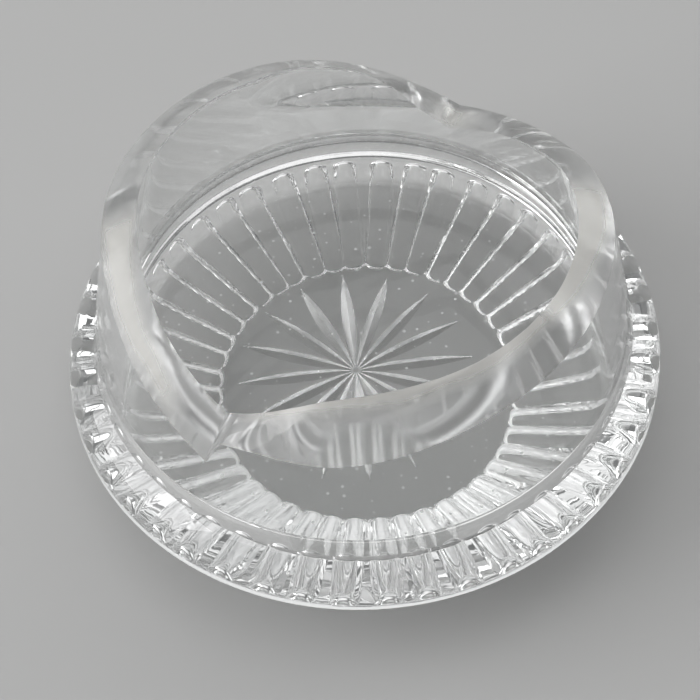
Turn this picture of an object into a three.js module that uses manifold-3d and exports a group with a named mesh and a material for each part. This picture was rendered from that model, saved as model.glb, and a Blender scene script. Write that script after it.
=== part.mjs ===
// Lower body of a clear cut-glass salt shaker: a star-cut, fluted foot and the plain tapered
// wall that stands on its shoulder, broken off along a heart-shaped edge.
// Millimetres, +Z up, origin on the table under the middle of the foot.
import * as THREE from 'three';
import { mergeVertices } from 'three/addons/utils/BufferGeometryUtils.js';
import Module from 'manifold-3d';

const wasm = await Module();
wasm.setup();

// foot
const footRadius = 25; // widest circle
const footEdgeHeight = 7.45; // height of that circle above the table
const edgeRound = 0.5; // radial width of the rolled lower edge
const edgeDrop = 0.35; // height of the rolled lower edge
const ledgeWidth = 0.86; // flat underside of the rim
const baseRadius = 12.75; // flat resting face
const shoulderWidth = 2.5; // from the widest circle in to the wall
const shoulderHeight = 3.95; // from the widest circle up to the wall's seat
const shoulderFullness = 2.4; // how far the shoulder climbs before it turns in

// inside of the cup
const floorHeight = 5.8;
const coveRadius = 0.9; // between floor and wall

// wall
const wallThickness = 2.65;
const wallLean = 9.9; // degrees inwards from upright

// wheel-cut ornament on the underside
const starRays = 16;
const starTurn = 3; // degrees
const starCentre = [-0.8, 1.45]; // cut a little off the axis
const starDepth = 0.5;
const starGrooveAngle = 100; // degrees between the two sides of a ray
const starStart = 0.2; // the rays begin this far from the star's centre
const starRadius = 10.3;
const fluteCount = 44;
const fluteTurn = 0.7; // degrees
const fluteWander = 0.6; // degrees, set by eye and so not quite even
const fluteReach = 0.4; // the flutes run this far in over the edge of the base
const fluteMargin = 0.3; // from the flutes' ends to the edge of the bevel
const fluteDepth = 0.5;
const fluteWheel = 0.9; // radius of the fluting wheel
const fluteWheelEdge = 1.5; // radius across its edge

// broken edge, point by point: azimuth in degrees from +X, inner and outer height above the seat
const frontPoint = [-127, 9.6, 6.8]; // lowest point in front
const backNotch = [63, 4.1, 4.3]; // notch at the back
const rightLobe = [[-123, 10.3, 9.6], [-98, 14.2, 10.1], [-60, 14.9, 12.2], [-10, 13.6, 12.1],
  [15, 11.9, 10.2], [40, 8, 6.8]];
const leftLobe = [[88, 10.3, 8.9], [110, 12.9, 11.3], [150, 14.7, 13.1], [185, 15.6, 13.9],
  [210, 12.8, 10.5]];
const breakFullness = 0.25; // how far the broken face swells between its two edges
const flakeRadius = 14; // shell-shaped chip on the inner back edge
const flakeAzimuth = 84;
const flakeBite = 0.9; // how deep the chip reaches into the wall
const flakeDrop = 0.6; // the chip's middle lies this far below the inner edge

// facets
const turnSteps = 96;
const curveSteps = 5;
const starWheelSteps = 48;
const fluteWheelSteps = 16;
const wheelEdgeSteps = 3;
const wheelEdgeSpan = 56; // degrees of rounded edge on each side of a wheel's middle
const flakeSteps = 28;

// sizes that follow from those above
const undersideRadius = footRadius - edgeRound;
const ledgeHeight = footEdgeHeight - edgeDrop;
const bevelOuter = undersideRadius - ledgeWidth;
const bevelSlope = Math.atan2(ledgeHeight, bevelOuter - baseRadius);
const fluteOuter = bevelOuter - fluteMargin;
const seatHeight = footEdgeHeight + shoulderHeight;
const wallRadius = footRadius - shoulderWidth;
const boreRadius = wallRadius - wallThickness;
const floorRadius = boreRadius - coveRadius;
const leanPerHeight = Math.tan(THREE.MathUtils.degToRad(wallLean));

const glass = new THREE.MeshStandardMaterial({
  color: 0xe9eeec,
  roughness: 0.04,
  metalness: 0,
  transparent: true,
  opacity: 0.35,
});

// A closed mesh as a solid that can be cut.
function toSolid(geometry) {
  geometry.deleteAttribute('normal');
  geometry.deleteAttribute('uv');
  const merged = mergeVertices(geometry);
  const corners = merged.index.array;
  const triVerts = [];
  for (let i = 0; i < corners.length; i += 3) {
    const [a, b, c] = corners.slice(i, i + 3);
    if (a !== b && b !== c && c !== a) {
      triVerts.push(a, b, c);
    }
  }
  return new wasm.Manifold(new wasm.Mesh({
    numProp: 3,
    vertProperties: merged.attributes.position.array,
    triVerts: new Uint32Array(triVerts),
  }));
}

function toMesh(name, solid) {
  const { vertProperties, triVerts } = solid.getMesh();
  const geometry = new THREE.BufferGeometry();
  geometry.setAttribute('position', new THREE.BufferAttribute(vertProperties, 3));
  geometry.setIndex(new THREE.BufferAttribute(triVerts, 1));
  geometry.computeVertexNormals();
  const mesh = new THREE.Mesh(geometry, glass);
  mesh.name = name;
  return mesh;
}

// The foot's half section, from the middle of the base round to the middle of the cup's floor.
function footSection() {
  const rollTop = new THREE.Vector2(footRadius, footEdgeHeight);
  const roll = new THREE.QuadraticBezierCurve(
    new THREE.Vector2(undersideRadius, ledgeHeight),
    new THREE.Vector2(footRadius, ledgeHeight),
    rollTop,
  );
  const shoulder = new THREE.QuadraticBezierCurve(
    rollTop,
    new THREE.Vector2(footRadius, footEdgeHeight + shoulderFullness),
    new THREE.Vector2(wallRadius, seatHeight),
  );
  const cove = new THREE.QuadraticBezierCurve(
    new THREE.Vector2(boreRadius, floorHeight + coveRadius),
    new THREE.Vector2(boreRadius, floorHeight),
    new THREE.Vector2(floorRadius, floorHeight),
  );
  return [
    new THREE.Vector2(0, 0),
    new THREE.Vector2(baseRadius, 0),
    new THREE.Vector2(bevelOuter, ledgeHeight),
    ...roll.getPoints(curveSteps),
    ...shoulder.getPoints(curveSteps).slice(1),
    new THREE.Vector2(boreRadius, seatHeight),
    ...cove.getPoints(curveSteps),
    new THREE.Vector2(0, floorHeight),
  ];
}

// A cutting wheel with a rounded edge, spinning about Y.
function roundWheel(radius, edgeRadius, steps) {
  const span = THREE.MathUtils.degToRad(wheelEdgeSpan);
  const points = [new THREE.Vector2(0, -edgeRadius * Math.sin(span))];
  for (let i = 0; i <= wheelEdgeSteps; i += 1) {
    const turn = span * (2 * i / wheelEdgeSteps - 1);
    points.push(new THREE.Vector2(
      radius - edgeRadius * (1 - Math.cos(turn)),
      edgeRadius * Math.sin(turn),
    ));
  }
  points.push(new THREE.Vector2(0, edgeRadius * Math.sin(span)));
  return new THREE.LatheGeometry(points, steps);
}

// A cutting wheel with a V edge that is twice as deep as its cut, spinning about Y.
function grooveWheel(radius, depth, angle, steps) {
  const edge = 2 * depth;
  const half = edge * Math.tan(THREE.MathUtils.degToRad(angle / 2));
  return new THREE.LatheGeometry([
    new THREE.Vector2(0, -half),
    new THREE.Vector2(radius - edge, -half),
    new THREE.Vector2(radius, 0),
    new THREE.Vector2(radius - edge, half),
    new THREE.Vector2(0, half),
  ], steps);
}

// Wheels sunk into the flat base side by side, one to each ray of the star.
function starCuts() {
  const half = (starRadius - starStart) / 2;
  const radius = (half * half + starDepth * starDepth) / (2 * starDepth);
  const cuts = [];
  for (let i = 0; i < starRays; i += 1) {
    const wheel = grooveWheel(radius, starDepth, starGrooveAngle, starWheelSteps);
    wheel.translate(starStart + half, 0, starDepth - radius);
    wheel.rotateZ(THREE.MathUtils.degToRad(starTurn + 360 * i / starRays));
    wheel.translate(starCentre[0], starCentre[1], 0);
    cuts.push(toSolid(wheel));
  }
  return cuts;
}

// Straight pulls of one wheel, from over the edge of the base out along the bevel.
function fluteCuts() {
  const cosine = Math.cos(bevelSlope);
  const sine = Math.sin(bevelSlope);
  const sink = fluteWheel - fluteDepth;
  const start = Math.sqrt(fluteWheel ** 2 - (sink + fluteReach * sine) ** 2) - fluteReach * cosine;
  const end = (fluteOuter - baseRadius) / cosine - Math.sqrt(fluteWheel ** 2 - sink ** 2);
  const wheels = [start, end].map((along) => {
    const wheel = roundWheel(fluteWheel, fluteWheelEdge, fluteWheelSteps);
    wheel.translate(baseRadius + along * cosine + sink * sine, 0, along * sine - sink * cosine);
    return toSolid(wheel);
  });
  const pull = wasm.Manifold.hull(wheels);
  const cuts = [];
  for (let i = 0; i < fluteCount; i += 1) {
    cuts.push(pull.rotate([0, 0, fluteTurn + 360 * i / fluteCount + fluteWander * Math.sin(i * i)]));
  }
  return cuts;
}

function flutedFoot() {
  const blank = new THREE.LatheGeometry(footSection(), turnSteps);
  blank.rotateX(Math.PI / 2);
  let solid = toSolid(blank);
  for (const cut of [...starCuts(), ...fluteCuts()]) {
    solid = solid.subtract(cut);
  }
  return toMesh('fluted_foot', solid);
}

// Inner and outer height of the broken edge at an azimuth, smooth along each lobe.
function brokenEdge() {
  const backPoint = [frontPoint[0] + 360, frontPoint[1], frontPoint[2]];
  const lobes = [[frontPoint, ...rightLobe, backNotch], [backNotch, ...leftLobe, backPoint]];
  const curves = lobes.map((points) => new THREE.CubicInterpolant(
    points.map((point) => point[0]),
    points.flatMap((point) => point.slice(1)),
    2,
  ));
  return (azimuth) => {
    const angle = azimuth < frontPoint[0] ? azimuth + 360 : azimuth;
    const [inner, outer] = curves[angle < backNotch[0] ? 0 : 1].evaluate(angle);
    return { inner, outer };
  };
}

// The wall's cross-section at an azimuth, from its outer foot over the broken edge and down inside.
function wallSection(azimuth, edgeAt) {
  const { inner, outer } = edgeAt(azimuth);
  const outerTop = new THREE.Vector2(wallRadius - outer * leanPerHeight, outer);
  const innerTop = new THREE.Vector2(boreRadius - inner * leanPerHeight, inner);
  const swell = outerTop.clone().add(innerTop).multiplyScalar(0.5);
  swell.y += breakFullness;
  const turn = THREE.MathUtils.degToRad(azimuth);
  return [
    new THREE.Vector2(wallRadius, 0),
    outerTop,
    swell,
    innerTop,
    new THREE.Vector2(boreRadius, 0),
  ].map((point) => new THREE.Vector3(
    point.x * Math.cos(turn),
    point.x * Math.sin(turn),
    seatHeight + point.y,
  ));
}

// A closed ring through sections that each close on themselves.
function loftRing(sections) {
  const size = sections[0].length;
  const index = [];
  sections.forEach((section, i) => {
    const here = i * size;
    const next = ((i + 1) % sections.length) * size;
    section.forEach((point, j) => {
      const k = (j + 1) % size;
      index.push(here + j, next + j, next + k, here + j, next + k, here + k);
    });
  });
  const geometry = new THREE.BufferGeometry().setFromPoints(sections.flat());
  geometry.setIndex(index);
  return geometry;
}

function taperedWall() {
  const edgeAt = brokenEdge();
  const sections = [];
  for (let i = 0; i < turnSteps; i += 1) {
    const azimuth = 360 * i / turnSteps;
    sections.push(wallSection(azimuth > 180 ? azimuth - 360 : azimuth, edgeAt));
  }
  const wall = toSolid(loftRing(sections));
  const flakeHeight = edgeAt(flakeAzimuth).inner - flakeDrop;
  const reach = boreRadius - flakeHeight * leanPerHeight + flakeBite - flakeRadius;
  const flake = new THREE.SphereGeometry(flakeRadius, flakeSteps, flakeSteps / 2);
  flake.translate(reach, 0, seatHeight + flakeHeight);
  flake.rotateZ(THREE.MathUtils.degToRad(flakeAzimuth));
  return toMesh('tapered_wall', wall.subtract(toSolid(flake)));
}

const shakerBody = new THREE.Group();
shakerBody.add(flutedFoot(), taperedWall());

export default shakerBody;
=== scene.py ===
# Clear cut-glass salt shaker body, broken off above its fluted foot
import math

import bpy
import numpy as np
from mathutils import Matrix, Vector


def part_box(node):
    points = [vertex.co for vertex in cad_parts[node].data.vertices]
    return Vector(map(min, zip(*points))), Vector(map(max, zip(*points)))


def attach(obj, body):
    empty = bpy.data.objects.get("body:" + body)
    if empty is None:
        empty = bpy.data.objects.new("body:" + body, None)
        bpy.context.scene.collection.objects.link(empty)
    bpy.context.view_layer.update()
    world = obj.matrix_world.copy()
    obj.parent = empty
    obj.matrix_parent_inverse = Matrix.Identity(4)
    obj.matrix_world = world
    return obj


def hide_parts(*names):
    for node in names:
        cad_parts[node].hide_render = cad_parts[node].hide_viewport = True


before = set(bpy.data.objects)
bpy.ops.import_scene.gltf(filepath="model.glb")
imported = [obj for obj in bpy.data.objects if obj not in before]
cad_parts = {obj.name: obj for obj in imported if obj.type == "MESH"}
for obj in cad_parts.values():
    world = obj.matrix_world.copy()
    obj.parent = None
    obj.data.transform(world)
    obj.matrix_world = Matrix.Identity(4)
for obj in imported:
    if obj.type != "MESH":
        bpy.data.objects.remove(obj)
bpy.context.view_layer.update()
mm = 0.001  # lengths below are in millimetres unless a note says otherwise
footHigh = np.array(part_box("fluted_foot")[1]) / mm
footRadius = footHigh[0]
seatHeight = footHigh[2]
print("frame loaded, foot", footRadius * 2, "mm across, wall's seat at", seatHeight)


# section of the glass, from the table up
section = {
    "baseRadius": 12.75,  # flat resting face
    "edgeHeight": 7.45,  # widest circle above the table
    "edgeRound": 0.5,  # rolled lower edge, across and up
    "edgeDrop": 0.35,
    "ledgeWidth": 0.86,  # underside of the rim
    "ledgeRise": 0.22,  # outwards, since a flat one mirrors the lamps
    "shoulderWidth": 2.5,
    "shoulderFullness": 2.4,
    "floorHeight": 5.8,
    "coveRadius": 0.9,
    "wallThickness": 2.65,
    "wallLean": math.radians(9.9),
}
undersideRadius = footRadius - section["edgeRound"]
ledgeHeight = section["edgeHeight"] - section["edgeDrop"]
bevelOuter = undersideRadius - section["ledgeWidth"]
bevelSlope = math.atan2(ledgeHeight - section["ledgeRise"], bevelOuter - section["baseRadius"])
wallRadius = footRadius - section["shoulderWidth"]
boreRadius = wallRadius - section["wallThickness"]
floorRadius = boreRadius - section["coveRadius"]
leanPerHeight = math.tan(section["wallLean"])


def bezier(start, corner, end, steps):
    t = np.linspace(0, 1, steps + 1)[:, None]
    start, corner, end = (np.array(p, float) for p in (start, corner, end))
    return (1 - t) ** 2 * start + 2 * t * (1 - t) * corner + t**2 * end


# wheel cuts on the underside
cuts = {
    "starRays": 16,
    "starTurn": math.radians(3),
    "starCentre": (-0.8, 1.45),  # cut a little off the axis
    "starDepth": 0.5,
    "starSide": math.radians(50),  # side of a ray from upright
    "starStart": 0.2,
    "starRadius": 10.3,
    "fluteCount": 44,
    "fluteTurn": math.radians(0.7),
    "fluteWander": math.radians(0.6),  # so the flutes are not quite even
    "fluteReach": 0.4,  # in over the edge of the base
    "fluteMargin": 0.3,  # from the flutes' ends to the edge of the bevel
    "fluteWheel": 0.9,
    "fluteWheelEdge": 1.5,
    "fluteDepth": 0.5,
}
starRadius = cuts["starRadius"]
fluteInner = section["baseRadius"] - cuts["fluteReach"]
fluteOuter = bevelOuter - cuts["fluteMargin"]

# columns of points round the glass: whole ones to every flute and every ray
columns = cuts["fluteCount"] * cuts["starRays"]
fluteHalf = columns // cuts["fluteCount"] // 2
rayHalf = columns // cuts["starRays"] // 2
guard = 0.04  # between a curve's end and the nearest ring on the flat beside it
sharpAngle = math.radians(18)  # an edge that turns more than this is shaded sharp


def plainUnderside(radii):
    bevel = np.clip(radii, section["baseRadius"], bevelOuter) - section["baseRadius"]
    ledge = np.clip(radii - bevelOuter, 0, section["ledgeWidth"]) / section["ledgeWidth"]
    return bevel * math.tan(bevelSlope) + ledge * section["ledgeRise"]


def starCut(radii, offset):
    # top of the groove a V-edged wheel sinks into the base, at a radius and an angle from the ray
    half = (starRadius - cuts["starStart"]) / 2
    wheel = (half**2 + cuts["starDepth"] ** 2) / (2 * cuts["starDepth"])
    along = radii * np.cos(offset)
    across = np.abs(radii * np.sin(offset))
    reach = wheel - across / math.tan(cuts["starSide"])
    inside = reach**2 - (along - half - cuts["starStart"]) ** 2
    return np.sqrt(np.maximum(inside, 0)) - (wheel - cuts["starDepth"])


def fluteCut(radii, offset):
    # top of the hollow that a round-edged wheel leaves when it is drawn out along the bevel
    cosine, sine = math.cos(bevelSlope), math.sin(bevelSlope)
    reach = cuts["fluteReach"]
    sink = cuts["fluteWheel"] - cuts["fluteDepth"]
    start = math.sqrt(cuts["fluteWheel"] ** 2 - (sink + reach * sine) ** 2) - reach * cosine
    end = (fluteOuter - section["baseRadius"]) / cosine - math.sqrt(cuts["fluteWheel"] ** 2 - sink**2)
    startOut, endOut = (section["baseRadius"] + along * cosine + sink * sine for along in (start, end))
    startUp = start * sine - sink * cosine
    along = radii * np.cos(offset)
    across = radii * np.sin(offset)
    edge = cuts["fluteWheelEdge"]
    wheel = cuts["fluteWheel"] - edge + np.sqrt(np.maximum(edge**2 - across**2, 0))
    middle = np.clip(along + wheel * sine, startOut, endOut)
    inside = wheel**2 - (along - middle) ** 2
    top = startUp + (middle - startOut) * math.tan(bevelSlope) + np.sqrt(np.maximum(inside, 0))
    untouched = -9.0  # below any surface
    return np.where((inside > 0) & (wheel > 0), top, untouched)


def spreadColumns(middles, halfSteps, rimStep, rimShare):
    # angles of a ring's columns: one on the middle of each cut, on its two rims and on the ridges beside it
    count = len(middles)
    after = np.roll(middles, -1)
    after[-1] += 2 * math.pi
    ridges = (middles + after) / 2
    before = np.roll(ridges, 1)
    before[0] -= 2 * math.pi
    step = np.arange(-halfSteps, halfSteps)
    size = np.abs(step)
    share = np.where(size <= rimStep, rimShare * size / rimStep,
                     rimShare + (1 - rimShare) * (size - rimStep) / (halfSteps - rimStep))
    back = middles[:, None] - share * (middles - before)[:, None]
    ahead = middles[:, None] + share * (ridges - middles)[:, None]
    return np.where(step < 0, back, ahead).reshape(count * 2 * halfSteps)


def starRings():
    # rings round the star's own centre, out to just past its tips
    meshing = {"firstRing": 0.08, "ringStep": 0.4, "rimStep": 10, "rimShares": (0.05, 0.9)}
    count = cuts["starRays"]
    middles = cuts["starTurn"] + np.arange(count) * 2 * math.pi / count
    radii = np.concatenate([[meshing["firstRing"]],
                            np.arange(cuts["starStart"], starRadius, meshing["ringStep"]),
                            [starRadius - guard, starRadius + guard]])
    rings = []
    for radius in radii:
        depth = max(starCut(np.array(radius), 0.0), 0)
        width = depth * math.tan(cuts["starSide"])
        rimShare = np.clip(width / radius / (math.pi / count), *meshing["rimShares"])
        angles = spreadColumns(middles, rayHalf, meshing["rimStep"], rimShare)
        offset = (angles - cuts["starTurn"] + math.pi / count) % (2 * math.pi / count) - math.pi / count
        ring = np.empty((columns, 3))
        ring[:, 0] = cuts["starCentre"][0] + radius * np.cos(angles)
        ring[:, 1] = cuts["starCentre"][1] + radius * np.sin(angles)
        ring[:, 2] = np.maximum(starCut(np.full(columns, radius), offset), 0)
        rings.append(ring)
    return np.array(rings)


def fluteRings():
    # rings round the axis, from inside the flutes' inner ends out to the rolled edge
    meshing = {"margin": 0.12, "endStep": 0.06, "endLength": 0.8, "middleStep": 0.8, "ledgeSteps": 10,
               "rimStep": 6, "rimShares": (0.06, 0.92)}
    innerEnd, outerEnd = fluteInner + meshing["endLength"], fluteOuter - meshing["endLength"]
    radii = np.concatenate([
        np.arange(fluteInner - meshing["margin"], innerEnd, meshing["endStep"]),
        np.arange(innerEnd, outerEnd, meshing["middleStep"]),
        np.arange(outerEnd, fluteOuter + meshing["margin"], meshing["endStep"]),
        np.linspace(bevelOuter, undersideRadius, meshing["ledgeSteps"] + 1)[:-1],
        [section["baseRadius"]],
    ])
    count = cuts["fluteCount"]
    number = np.arange(count)
    middles = cuts["fluteTurn"] + number * 2 * math.pi / count + cuts["fluteWander"] * np.sin(number**2)
    edge = cuts["fluteWheelEdge"]
    rings = []
    for radius in np.sort(radii):
        plain = plainUnderside(radius)
        depth = (fluteCut(radius, 0.0) - plain) * math.cos(bevelSlope)
        width = math.sqrt(edge**2 - (edge - max(depth, 0)) ** 2)
        rimShare = np.clip(width / radius / (math.pi / count), *meshing["rimShares"])
        angles = spreadColumns(middles, fluteHalf, meshing["rimStep"], rimShare)
        own = np.repeat(np.arange(count), 2 * fluteHalf)
        height = np.full(columns, plain)
        for neighbour in (-1, 0, 1):
            offset = (angles - middles[(own + neighbour) % count] + math.pi) % (2 * math.pi) - math.pi
            height = np.maximum(height, fluteCut(radius, offset))
        rings.append(np.column_stack([radius * np.cos(angles), radius * np.sin(angles), height]))
    return np.array(rings)


def turnedRings(profile, angles):
    # rings of a turned surface, one to each radius and height of its profile
    rings = np.empty((len(profile), len(angles), 3))
    rings[:, :, 0] = profile[:, :1] * np.cos(angles)
    rings[:, :, 1] = profile[:, :1] * np.sin(angles)
    rings[:, :, 2] = profile[:, 1:]
    return rings


def blendRings(first, last, steps):
    share = np.linspace(0, 1, steps + 2)[1:-1, None, None]
    return first * (1 - share) + last * share


def meshFromRings(name, rings, poles, slots, materials):
    # bands between rings become quads; without poles the last ring joins the first again
    count, around = rings.shape[:2]
    points = rings.reshape(-1, 3)
    bands = count - 1 if poles else count
    lower = np.arange(bands)[:, None] * around
    upper = (np.arange(bands)[:, None] + 1) % count * around
    here = np.arange(around)[None, :]
    after = (here + 1) % around
    faces = np.stack([lower + here, lower + after, upper + after, upper + here], -1).reshape(-1, 4).tolist()
    faceSlots = slots[:bands].reshape(-1).tolist()
    if poles:
        points = np.vstack([points, np.array(poles, float)])
        first, last = len(points) - 2, len(points) - 1
        top = (count - 1) * around
        ring = np.arange(around)
        following = (ring + 1) % around
        faces += np.stack([np.full(around, first), following, ring], -1).tolist()
        faces += np.stack([np.full(around, last), top + ring, top + following], -1).tolist()
        faceSlots += slots[0].tolist() + slots[bands - 1].tolist()
    mesh = bpy.data.meshes.new(name)
    mesh.from_pydata((points * mm).tolist(), [], faces)
    for material in materials:
        mesh.materials.append(material)
    mesh.polygons.foreach_set("material_index", np.array(faceSlots, np.int32))
    mesh.polygons.foreach_set("use_smooth", np.ones(len(faces), bool))
    mesh.update(calc_edges=True)
    mesh.set_sharp_from_angle(angle=sharpAngle)
    piece = bpy.data.objects.new(name, mesh)
    bpy.context.scene.collection.objects.link(piece)
    return piece


# glass finishes
glass = {
    "color": (0.985, 0.992, 0.989, 1),
    "ior": 1.52,
    "polishedRoughness": 0.0,
    "fluteRoughness": 0.02,
    "starRoughness": 0.25,
    "starColor": (0.97, 0.975, 0.97, 1),
    "starClearness": 0.85,
}


def newMaterial(name):
    material = bpy.data.materials.new(name)
    material.use_nodes = True
    return material, material.node_tree.nodes["Principled BSDF"]


def clearGlass(name, roughness, color=glass["color"], clearness=1.0):
    material, shader = newMaterial(name)
    shader.inputs["Base Color"].default_value = color
    shader.inputs["Transmission Weight"].default_value = clearness
    shader.inputs["IOR"].default_value = glass["ior"]
    shader.inputs["Roughness"].default_value = roughness
    return material


def bondedSeat():
    # the two pieces touch here, so nothing shows
    material, shader = newMaterial("bonded_seat")
    tree = material.node_tree
    tree.nodes.remove(shader)
    clear = tree.nodes.new("ShaderNodeBsdfTransparent")
    tree.links.new(clear.outputs[0], tree.nodes["Material Output"].inputs["Surface"])
    return material


def addNode(tree, kind, operation, *inputs):
    node = tree.nodes.new(kind)
    if operation:
        node.operation = operation
    for socket, value in zip(node.inputs, inputs):
        if isinstance(value, bpy.types.NodeSocket):
            tree.links.new(value, socket)
        else:
            socket.default_value = value
    return node.outputs[0]


def brokenGlass():
    # smooth where the hackle attribute is 0; where it is 1 the break is rougher, and its cloudy cream
    # colour is a painted highlight
    smooth = {"roughness": 0.13, "clearness": 1.0, "color": (0.985, 0.990, 0.985, 1)}
    # the cream colour and the lower clearness here are a painted highlight laid over the rough zones
    roughAndHighlight = {"roughness": 0.32, "clearness": 0.60, "color": (0.960, 0.945, 0.895, 1)}
    material = clearGlass("broken_glass", smooth["roughness"])
    tree = material.node_tree
    shader = tree.nodes["Principled BSDF"]
    attribute = tree.nodes.new("ShaderNodeAttribute")
    attribute.attribute_name = "hackle_and_painted_highlight"
    amount = attribute.outputs["Fac"]
    for key, socket in (("roughness", "Roughness"), ("clearness", "Transmission Weight")):
        span = roughAndHighlight[key] - smooth[key]
        value = addNode(tree, "ShaderNodeMath", "MULTIPLY_ADD", amount, span, smooth[key])
        tree.links.new(value, shader.inputs[socket])
    mix = tree.nodes.new("ShaderNodeMix")
    mix.data_type = "RGBA"
    tree.links.new(amount, mix.inputs["Factor"])
    colors = [socket for socket in mix.inputs if socket.type == "RGBA"]
    colors[0].default_value, colors[1].default_value = smooth["color"], roughAndHighlight["color"]
    result = next(socket for socket in mix.outputs if socket.type == "RGBA")
    tree.links.new(result, shader.inputs["Base Color"])
    return material


def dustyGlass():
    # floor of the cup: clear, with specks of dust
    dust = {"cell": 1.2 * mm, "size": 0.12, "spread": 0.45, "cover": 0.8}
    material = clearGlass("dusty_floor_glass", glass["polishedRoughness"])
    tree = material.node_tree
    cells = tree.nodes.new("ShaderNodeTexVoronoi")
    cells.voronoi_dimensions = "2D"
    cells.inputs["Scale"].default_value = 1 / dust["cell"]
    place = tree.nodes.new("ShaderNodeTexCoord")
    tree.links.new(place.outputs["Object"], cells.inputs["Vector"])
    chance = addNode(tree, "ShaderNodeSeparateXYZ", None, cells.outputs["Color"])
    above = addNode(tree, "ShaderNodeMath", "SUBTRACT", chance, dust["spread"])
    size = addNode(tree, "ShaderNodeMath", "MULTIPLY", above, dust["size"] / (1 - dust["spread"]))
    speck = addNode(tree, "ShaderNodeMath", "LESS_THAN", cells.outputs["Distance"], size)
    clear = addNode(tree, "ShaderNodeMath", "MULTIPLY_ADD", speck, -dust["cover"], 1.0)
    tree.links.new(clear, tree.nodes["Principled BSDF"].inputs["Transmission Weight"])
    return material


polished = clearGlass("polished_glass", glass["polishedRoughness"])
starCutGlass = clearGlass("star_cut_glass", glass["starRoughness"], glass["starColor"],
                          glass["starClearness"])
fluteCutGlass = clearGlass("flute_cut_glass", glass["fluteRoughness"])
brokenFace = brokenGlass()
dustyFloor = dustyGlass()
bonded = bondedSeat()


def makeFoot():
    meshing = {"joinSteps": 2, "rollSteps": 12, "shoulderSteps": 20, "coveSteps": 14, "floorSteps": 4,
               "leastCut": 0.02}
    star = starRings()
    flutes = fluteRings()
    angles = np.arctan2(flutes[-1, :, 1], flutes[-1, :, 0])
    rollTop = (footRadius, section["edgeHeight"])
    roll = bezier((undersideRadius, ledgeHeight), (footRadius, ledgeHeight), rollTop, meshing["rollSteps"])
    shoulderCorner = (footRadius, section["edgeHeight"] + section["shoulderFullness"])
    shoulder = bezier(rollTop, shoulderCorner, (wallRadius, seatHeight), meshing["shoulderSteps"])[1:]
    coveTop = (boreRadius, section["floorHeight"] + section["coveRadius"])
    cove = bezier(coveTop, (boreRadius, section["floorHeight"]), (floorRadius, section["floorHeight"]),
                  meshing["coveSteps"])
    bore = np.array([(boreRadius, seatHeight), (boreRadius, coveTop[1] + guard)])
    floorRadii = np.linspace(floorRadius - guard, 0, meshing["floorSteps"] + 1)[:-1]
    floor = np.column_stack([floorRadii, np.full(len(floorRadii), section["floorHeight"])])
    below = [star, blendRings(star[-1], flutes[0], meshing["joinSteps"]), flutes]
    above = [turnedRings(profile, angles) for profile in (roll, shoulder, bore, cove, floor)]
    rings = np.concatenate(below + above)
    finishes = [polished, bonded, starCutGlass, fluteCutGlass, dustyFloor]
    slots = np.zeros(rings.shape[:2], int)  # polished unless set below
    seatRing = sum(len(part) for part in below + above[:2]) - 1
    slots[seatRing] = finishes.index(bonded)
    cutRings = sum(len(part) for part in below)
    radii = np.hypot(rings[:cutRings, :, 0], rings[:cutRings, :, 1])
    isCut = rings[:cutRings, :, 2] > plainUnderside(radii) + meshing["leastCut"]
    slots[:cutRings][isCut & (radii < fluteInner)] = finishes.index(starCutGlass)
    slots[:cutRings][isCut & (radii >= fluteInner)] = finishes.index(fluteCutGlass)
    slots[-len(floor) - 1:] = finishes.index(dustyFloor)
    poles = [(*cuts["starCentre"], 0), (0, 0, section["floorHeight"])]
    return meshFromRings("fluted_foot_glass", rings, poles, slots, finishes)


# broken edge: its points have an azimuth in degrees and the inner and outer height above the seat
# its waves have a depth, a number of them round the wall, and how far and how often their pace sways
breakEdge = {
    "frontPoint": (-127, 9.6, 6.8),
    "rightLobe": [(-123, 10.3, 9.6), (-98, 14.2, 10.1), (-60, 14.9, 12.2), (-10, 13.6, 12.1),
                  (15, 11.9, 10.2), (40, 8.0, 6.8)],
    "backNotch": (63, 4.1, 4.3),
    "leftLobe": [(88, 10.3, 8.9), (110, 12.9, 11.3), (150, 14.7, 13.1), (185, 15.6, 13.9),
                 (210, 12.8, 10.5)],
    "fullness": 0.25,
    "flakeRadius": 14.0,
    "flakeAzimuth": math.radians(84),
    "flakeBite": 0.9,
    "flakeDrop": 0.6,
    # small chips along both edges
    "nibble": {"depth": 0.03, "count": 37, "sway": 3, "swayCount": 7, "gaps": 11},
    # slow waves over the whole break
    "ripple": {"depth": 0.02, "count": 19, "sway": 4, "swayCount": 3, "bend": 8, "crest": 0.4},
    # fine lines across its rough zones
    "ridges": {"depth": 0.006, "count": 150, "sway": 6, "swayCount": 17, "slant": 2},
}


def wave(angles, kind, shift=0):
    return np.sin(angles * kind["count"] + kind["sway"] * np.sin(angles * kind["swayCount"]) + shift)


def smoothThrough(points, at):
    # cubic through the points, with each slope taken from the neighbours
    points = np.array(points, float)
    x, y = points[:, 0], points[:, 1:]
    slope = np.empty_like(y)
    slope[1:-1] = (y[2:] - y[:-2]) / (x[2:] - x[:-2])[:, None]
    slope[0] = (y[1] - y[0]) / (x[1] - x[0])
    slope[-1] = (y[-1] - y[-2]) / (x[-1] - x[-2])
    i = np.clip(np.searchsorted(x, at, side="right") - 1, 0, len(x) - 2)
    width = (x[i + 1] - x[i])[:, None]
    t = ((at - x[i]) / (x[i + 1] - x[i]))[:, None]
    return ((2 * t**3 - 3 * t**2 + 1) * y[i] + (t**3 - 2 * t**2 + t) * width * slope[i]
            + (3 * t**2 - 2 * t**3) * y[i + 1] + (t**3 - t**2) * width * slope[i + 1])


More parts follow.
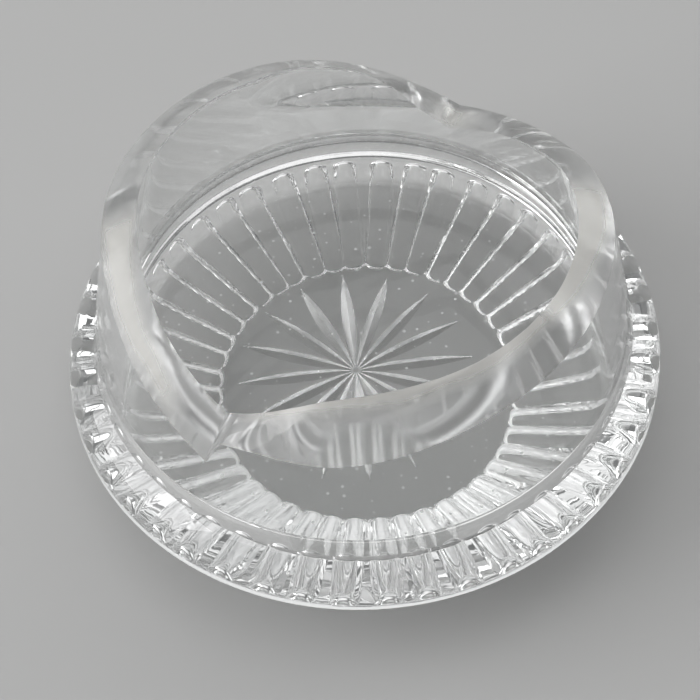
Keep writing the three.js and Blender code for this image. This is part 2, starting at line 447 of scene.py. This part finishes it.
def edgeHeights(azimuths):
    # inner and outer height of the broken edge above the seat
    front = breakEdge["frontPoint"]
    notch = breakEdge["backNotch"]
    behind = (front[0] + 360, front[1], front[2])
    degrees = (np.degrees(azimuths) - front[0]) % 360 + front[0]
    right = smoothThrough([front, *breakEdge["rightLobe"], notch], degrees)
    left = smoothThrough([notch, *breakEdge["leftLobe"], behind], degrees)
    return np.where((degrees < notch[0])[:, None], right, left).T


# rough zones of the break, which also carry its painted cream highlight: azimuths in degrees, and at both
# ends of a zone its outer and inner border, as shares of the way from the outer to the inner edge
hackleAndHighlightZones = [
    {"from": -124, "to": -32, "outer": (0.62, 0.52), "inner": (1.3, 1.3)},
    {"from": -44, "to": 16, "outer": (0.55, -0.2), "inner": (1.3, 1.3)},
    {"from": 172, "to": 226, "outer": (-0.15, 0.0), "inner": (1.2, 0.6)},
    {"from": 54, "to": 72, "outer": (0.1, 0.1), "inner": (1.1, 1.1)},
]
hackleAndHighlightBorder = {
    "endFade": 10,  # degrees
    "sideFade": 0.35,
    "waves": {"depth": 0.03, "count": 9, "sway": 2, "swayCount": 5},
    "fineDepth": 0.008,
    "fineCount": 41,
}


def hackle_and_painted_highlight(angles, across):
    # 0 on the smooth break to 1 where it is rough and carries the painted cream highlight
    degrees = np.degrees(angles)
    waves = hackleAndHighlightBorder["waves"]
    ragged = waves["depth"] * wave(angles, waves)
    ragged = ragged + hackleAndHighlightBorder["fineDepth"] * np.sin(angles * hackleAndHighlightBorder["fineCount"] + 1)
    amount = np.zeros(np.broadcast(angles, across).shape)
    for zone in hackleAndHighlightZones:
        place = (degrees - zone["from"]) % 360
        length = zone["to"] - zone["from"]
        share = np.clip(place / length, 0, 1)
        outer = zone["outer"][0] + (zone["outer"][1] - zone["outer"][0]) * share + ragged
        inner = zone["inner"][0] + (zone["inner"][1] - zone["inner"][0]) * share + ragged
        ends = np.minimum(place, length - place) / hackleAndHighlightBorder["endFade"]
        sides = np.minimum(across - outer, inner - across) / hackleAndHighlightBorder["sideFade"]
        amount = np.maximum(amount, np.clip(np.minimum(ends, sides), 0, 1))
    return amount


def makeWall():
    meshing = {"around": 1350, "wallSteps": 26, "crowding": 1.6, "breakSteps": 20}
    angles = np.arange(meshing["around"]) * 2 * math.pi / meshing["around"]
    nibble, ripple, ridges = (breakEdge[kind] for kind in ("nibble", "ripple", "ridges"))
    inner, outer = edgeHeights(angles)
    chips = wave(angles, nibble) * np.sin(angles * nibble["gaps"] + 1)
    inner = inner - nibble["depth"] * np.maximum(chips, 0)
    outer = outer - nibble["depth"] * np.maximum(-chips, 0)
    share = np.linspace(0, 1, meshing["wallSteps"] + 1)
    upward = 1 - (1 - share) ** meshing["crowding"]  # closer rings near the break
    outerHeights = upward[:, None] * outer
    outerRadii = wallRadius - outerHeights * leanPerHeight
    innerHeights = upward[::-1][:, None] * inner
    innerRadii = boreRadius - innerHeights * leanPerHeight
    breakShare = np.linspace(0, 1, meshing["breakSteps"] + 1)[:, None]
    across = breakShare[1:-1]
    hump = 4 * across * (1 - across)  # 0 at both edges, 1 midway
    slow = 0.5 + 0.5 * wave(angles, ripple, ripple["bend"] * (across - ripple["crest"]) ** 2)
    fine = 0.5 + 0.5 * wave(angles, ridges, ridges["slant"] * across)
    dents = ripple["depth"] * slow + ridges["depth"] * fine * hackle_and_painted_highlight(angles, across)
    swell = hump * (breakEdge["fullness"] - dents)
    breakHeights = outerHeights[-1] * (1 - across) + innerHeights[0] * across + swell
    breakRadii = outerRadii[-1] * (1 - across) + innerRadii[0] * across
    heights = np.concatenate([outerHeights, breakHeights, innerHeights])
    radii = np.concatenate([outerRadii, breakRadii, innerRadii])
    # flake scar: a ball sunk into the inside of the wall
    ball = breakEdge["flakeRadius"]
    turn = angles - breakEdge["flakeAzimuth"]
    ballHeight = edgeHeights(np.array([breakEdge["flakeAzimuth"]]))[0][0] - breakEdge["flakeDrop"]
    ballOut = boreRadius - ballHeight * leanPerHeight + breakEdge["flakeBite"] - ball
    gap = ball**2 - (heights - ballHeight) ** 2 - (ballOut * np.sin(turn)) ** 2
    scar = ballOut * np.cos(turn) + np.sqrt(np.maximum(gap, 0))
    outerEdge = len(outerRadii) - 1
    cutAway = (gap > 0) & (np.cos(turn) > 0) & (np.arange(len(radii))[:, None] > outerEdge)
    radii = np.where(cutAway, np.maximum(radii, np.minimum(scar, outerRadii[-1])), radii)
    rings = np.empty(radii.shape + (3,))
    rings[:, :, 0] = radii * np.cos(angles)
    rings[:, :, 1] = radii * np.sin(angles)
    rings[:, :, 2] = seatHeight + heights
    finishes = [polished, bonded, brokenFace]
    slots = np.zeros(radii.shape, int)  # polished unless set below
    slots[-1] = finishes.index(bonded)
    slots[outerEdge:outerEdge + meshing["breakSteps"]] = finishes.index(brokenFace)
    wall = meshFromRings("tapered_wall_glass", rings, None, slots, finishes)
    # this amount sets the break's roughness and also where its painted cream highlight lies
    amount = np.zeros(radii.shape)
    amount[outerEdge:outerEdge + meshing["breakSteps"] + 1] = hackle_and_painted_highlight(angles, breakShare)
    wall.data.attributes.new("hackle_and_painted_highlight", "FLOAT", "POINT").data.foreach_set("value", amount.reshape(-1))
    return wall


foot = makeFoot()
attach(foot, "root")
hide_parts("fluted_foot")
wall = makeWall()
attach(wall, "root")
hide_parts("tapered_wall")
print("glass made,", len(foot.data.polygons), "and", len(wall.data.polygons), "faces")


# view of the photograph, fitted to the outline of the foot
view = {
    "elevation": math.radians(54.74),
    "roll": math.radians(-4.14),
    "distance": 200.0,
    "focalPixels": 2352.2,
    "framePixels": 700.0,
    "target": (-1.175, 0.275, 7.2),
    "sensor": 36.0,
    "clip": (0.01, 20.0),  # metres
}


def placeCamera():
    data = bpy.data.cameras.new("camera")
    data.sensor_width = view["sensor"]
    data.lens = data.sensor_width * view["focalPixels"] / view["framePixels"]
    data.clip_start, data.clip_end = view["clip"]
    back = Vector((0, -math.cos(view["elevation"]), math.sin(view["elevation"])))
    level = Vector((1, 0, 0))
    upright = back.cross(level)
    right = math.cos(view["roll"]) * level + math.sin(view["roll"]) * upright
    up = -math.sin(view["roll"]) * level + math.cos(view["roll"]) * upright
    where = (Vector(view["target"]) + back * view["distance"]) * mm
    camera = bpy.data.objects.new("camera", data)
    camera.matrix_world = Matrix((
        (right.x, up.x, back.x, where.x),
        (right.y, up.y, back.y, where.y),
        (right.z, up.z, back.z, where.z),
        (0, 0, 0, 1),
    ))
    bpy.context.scene.collection.objects.link(camera)
    bpy.context.scene.camera = camera


placeCamera()


# studio
studio = {
    "floorColor": (0.56, 0.56, 0.555, 1),
    "floorRoughness": 0.7,
    "floorSize": 3.0,  # metres
    "floorDrop": 0.02 * mm,  # keeps the floor clear of the glass's base
    "worldColor": (0.17, 0.172, 0.174, 1),
    "bounces": 32,  # light turns many corners inside the cuts
}
lamps = [  # metres
    {"name": "overhead_softbox", "at": (-0.15, 0.05, 0.80), "size": (1.4, 1.2), "watts": 4.3},
    {"name": "back_softbox", "at": (0.10, 1.00, 0.35), "size": (1.2, 0.5), "watts": 1.4},
    {"name": "left_softbox", "at": (-0.90, -0.05, 0.40), "size": (0.8, 0.6), "watts": 5.0},
    {"name": "right_softbox", "at": (0.90, 0.30, 0.30), "size": (0.6, 0.5), "watts": 1.4},
]


def makeStage():
    half = studio["floorSize"] / 2
    mesh = bpy.data.meshes.new("floor")
    corners = [(-half, -half, 0), (half, -half, 0), (half, half, 0), (-half, half, 0)]
    mesh.from_pydata(corners, [], [(0, 1, 2, 3)])
    floor = bpy.data.objects.new("floor", mesh)
    bpy.context.scene.collection.objects.link(floor)
    floor.location.z = -studio["floorDrop"]
    material, shader = newMaterial("pale_floor")
    shader.inputs["Base Color"].default_value = studio["floorColor"]
    shader.inputs["Roughness"].default_value = studio["floorRoughness"]
    mesh.materials.append(material)
    world = bpy.data.worlds.new("studio")
    world.use_nodes = True
    world.node_tree.nodes["Background"].inputs["Color"].default_value = studio["worldColor"]
    bpy.context.scene.world = world
    for lamp in lamps:
        data = bpy.data.lights.new(lamp["name"], "AREA")
        data.shape = "RECTANGLE"
        data.size, data.size_y = lamp["size"]
        data.energy = lamp["watts"]
        light = bpy.data.objects.new(lamp["name"], data)
        light.location = lamp["at"]
        light.rotation_euler = (-Vector(lamp["at"])).to_track_quat("-Z", "Y").to_euler()
        bpy.context.scene.collection.objects.link(light)


makeStage()
cycles = bpy.context.scene.cycles
cycles.max_bounces = studio["bounces"]
cycles.glossy_bounces = studio["bounces"]
cycles.transmission_bounces = studio["bounces"]
cycles.transparent_max_bounces = studio["bounces"]
bpy.context.scene.view_settings.view_transform = "Standard"
bpy.context.view_layer.update()
print("stage set")
